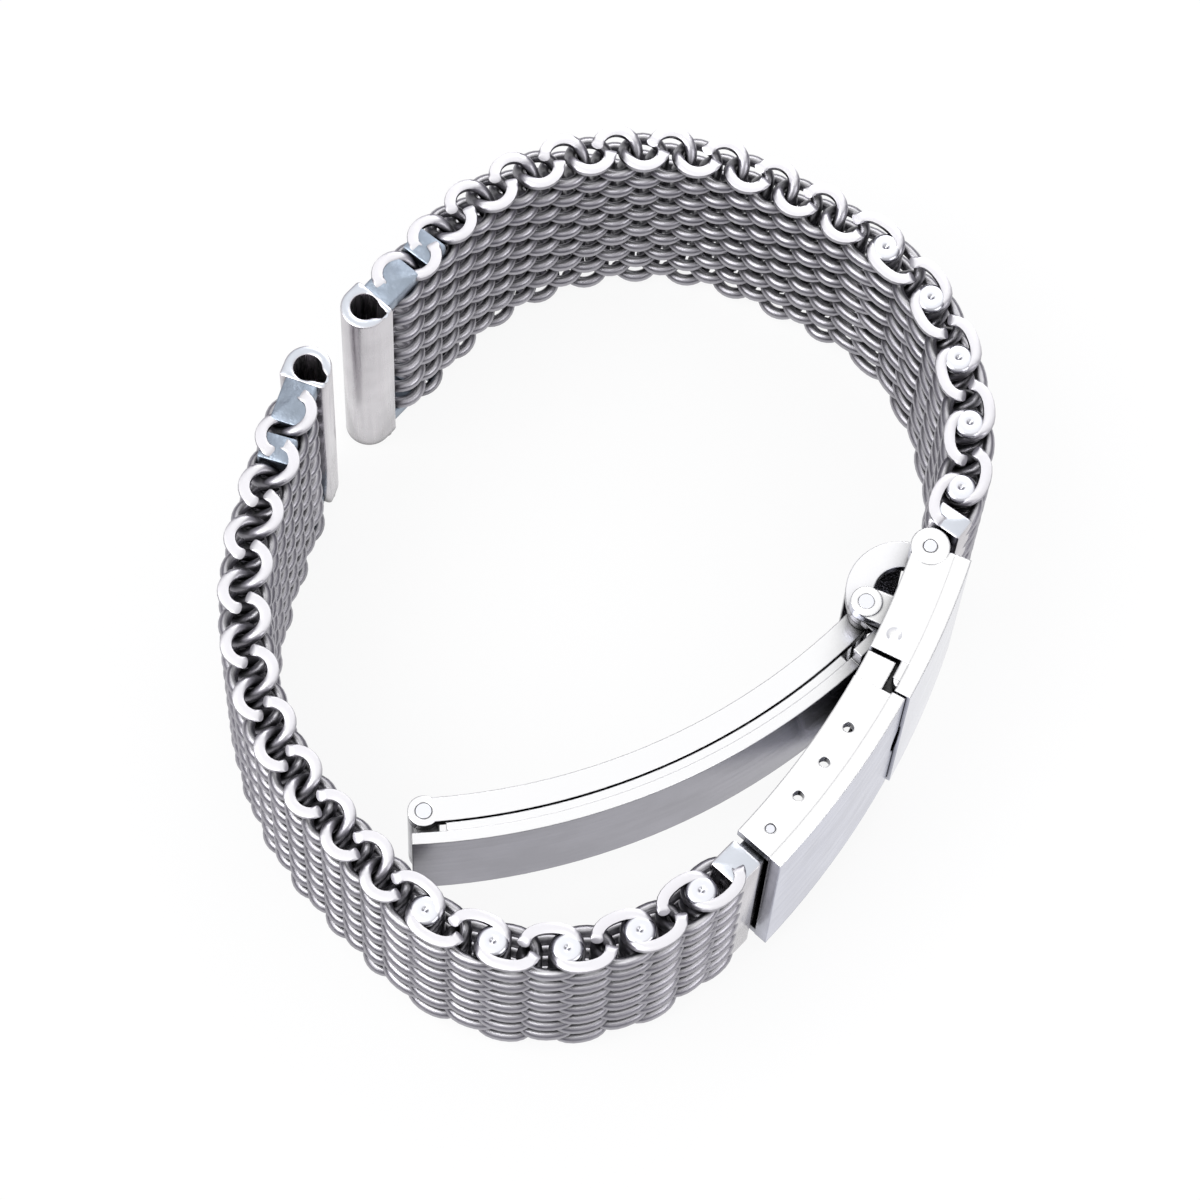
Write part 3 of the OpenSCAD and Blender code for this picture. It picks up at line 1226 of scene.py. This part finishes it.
@dataclass(frozen=True)
class Studio:
    """Floor, sky, lamps and camera of the photograph."""

    focal_px: float = 4700.0
    frame_px: float = 1200.0
    sensor: float = 36.0
    clip: float = 10.0
    elevation: float = 68.0
    distance: float = 360.0
    roll: float = 4.5
    target: Triple = (-0.29, -1.48, 11.0)
    floor_half: float = 3000.0
    paper: Triple = (0.86, 0.86, 0.87)
    paper_gloss: float = 0.9
    paper_sheen: float = 0.1
    paper_white: float = 0.9
    sky_low: Triple = (0.20, 0.19, 0.24)
    sky_high: Triple = (1.0, 1.0, 1.0)
    sky_range: tuple[float, float] = (0.3, 0.8)
    lamps: tuple[Lamp, ...] = (
        Lamp("key", (-260.0, -120.0, 420.0), 300.0, 1.3),
        Lamp("fill", (320.0, -200.0, 260.0), 260.0, 0.5),
        Lamp("back", (60.0, 380.0, 300.0), 240.0, 0.5),
    )

    def build(self) -> None:
        """Set up the whole studio."""
        self.camera()
        self.floor()
        self.world()
        for lamp in self.lamps:
            lamp.hang(Vector(self.target) * MM)

    def camera(self) -> None:
        """Place the camera as the photograph's was."""
        rise = math.radians(self.elevation)
        target = Vector(self.target) * MM
        offset = Vector((0.0, -math.cos(rise), math.sin(rise))) * self.distance * MM
        data = bpy.data.cameras.new("camera")
        data.sensor_width = self.sensor
        data.lens = self.sensor * self.focal_px / self.frame_px
        data.clip_start = self.clip * MM
        camera = bpy.data.objects.new("camera", data)
        bpy.context.scene.collection.objects.link(camera)
        look = (-offset).to_track_quat("-Z", "Y").to_matrix().to_4x4()
        roll = Matrix.Rotation(math.radians(self.roll), 4, "Z")
        camera.matrix_world = Matrix.Translation(target + offset) @ look @ roll
        bpy.context.scene.camera = camera

    def floor(self) -> None:
        """Lay a pale floor that the camera sees as white."""
        mesh = bpy.data.meshes.new("floor")
        size = self.floor_half * MM
        mesh.from_pydata(
            [(-size, -size, 0.0), (size, -size, 0.0), (size, size, 0.0), (-size, size, 0.0)],
            [],
            [(0, 1, 2, 3)],
        )
        mesh.materials.append(self._paper())
        floor = bpy.data.objects.new("floor", mesh)
        bpy.context.scene.collection.objects.link(floor)

    def _paper(self) -> bpy.types.Material:
        """Make paper that shows nearly white to the camera and in reflections.

        Returns:
            The material, which lights the bracelet as plain paper does.
        """
        mat = bpy.data.materials.new("floor_paper")
        mat.use_nodes = True
        tree = mat.node_tree
        shader = tree.nodes["Principled BSDF"]
        shader.inputs["Base Color"].default_value = (*self.paper, 1.0)
        shader.inputs["Roughness"].default_value = self.paper_gloss
        shader.inputs["Specular IOR Level"].default_value = self.paper_sheen
        glow = new_node(tree, "Emission", {"Color": (1.0, 1.0, 1.0, 1.0), "Strength": 1.0})
        rays = new_node(tree, "LightPath")
        seen = math_node(tree, "ADD")
        through = math_node(tree, "ADD")
        through.use_clamp = True
        share = math_node(tree, "MULTIPLY")
        share.inputs[1].default_value = self.paper_white
        mix = new_node(tree, "MixShader")
        tree.links.new(rays.outputs["Is Camera Ray"], seen.inputs[0])
        tree.links.new(rays.outputs["Is Glossy Ray"], seen.inputs[1])
        tree.links.new(seen.outputs[0], through.inputs[0])
        tree.links.new(rays.outputs["Is Transmission Ray"], through.inputs[1])
        tree.links.new(through.outputs[0], share.inputs[0])
        tree.links.new(share.outputs[0], mix.inputs["Fac"])
        tree.links.new(shader.outputs[0], mix.inputs[1])
        tree.links.new(glow.outputs[0], mix.inputs[2])
        tree.links.new(mix.outputs[0], tree.nodes["Material Output"].inputs["Surface"])
        return mat

    def world(self) -> None:
        """Light the scene evenly from a pale sky that darkens near the ground."""
        world = bpy.data.worlds.new("studio")
        bpy.context.scene.world = world
        world.use_nodes = True
        tree = world.node_tree
        coords = new_node(tree, "TexCoord")
        parts = new_node(tree, "SeparateXYZ")
        ramp = new_node(tree, "ValToRGB")
        tones = (self.sky_low, self.sky_high)
        for stop, tone, place in zip(ramp.color_ramp.elements, tones, self.sky_range):
            stop.position = place
            stop.color = (*tone, 1.0)
        tree.links.new(coords.outputs["Generated"], parts.inputs[0])
        tree.links.new(parts.outputs["Z"], ramp.inputs["Fac"])
        tree.links.new(ramp.outputs["Color"], tree.nodes["Background"].inputs["Color"])
        tree.nodes["Background"].inputs["Strength"].default_value = 1.0


def main() -> None:
    """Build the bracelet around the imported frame."""
    logging.basicConfig(level=logging.INFO, format="%(message)s")
    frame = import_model()
    bpy.context.scene.view_settings.view_transform = "Standard"
    Studio().build()
    clasp = Clasp()
    clasp.dress(frame["nodes"])
    twelve = BandHalf(
        plan=BandPlan(
            side=Side.TWELVE,
            start=clasp.band_pin,
            heading=58.0,
            arcs=((11, 37), (10, 25), (9, 32), (8, 5), (28, 79), (9, -4)),
            first_pin=5.46,
        ),
        hinge=HingeBlock(
            knuckle_r=1.2,
            bore_r=0.65,
            half_height=5.0,
            web=2.2,
            web_half=1.0,
            block_start=1.75,
            block_end=3.65,
        ),
    )
    six = BandHalf(
        plan=BandPlan(
            side=Side.SIX,
            start=clasp.bar,
            heading=231.0,
            arcs=((9, -9), (22, -81), (9, -7), (24, -54), (12, -5)),
            first_pin=7.0,
        ),
        hinge=HingeBlock(
            knuckle_r=1.31,
            bore_r=0.95,
            half_height=7.5,
            web=2.9,
            web_half=1.1,
            block_start=2.4,
            block_end=5.0,
        ),
    )
    twelve.build()
    six.build()


if __name__ == "__main__":
    main()
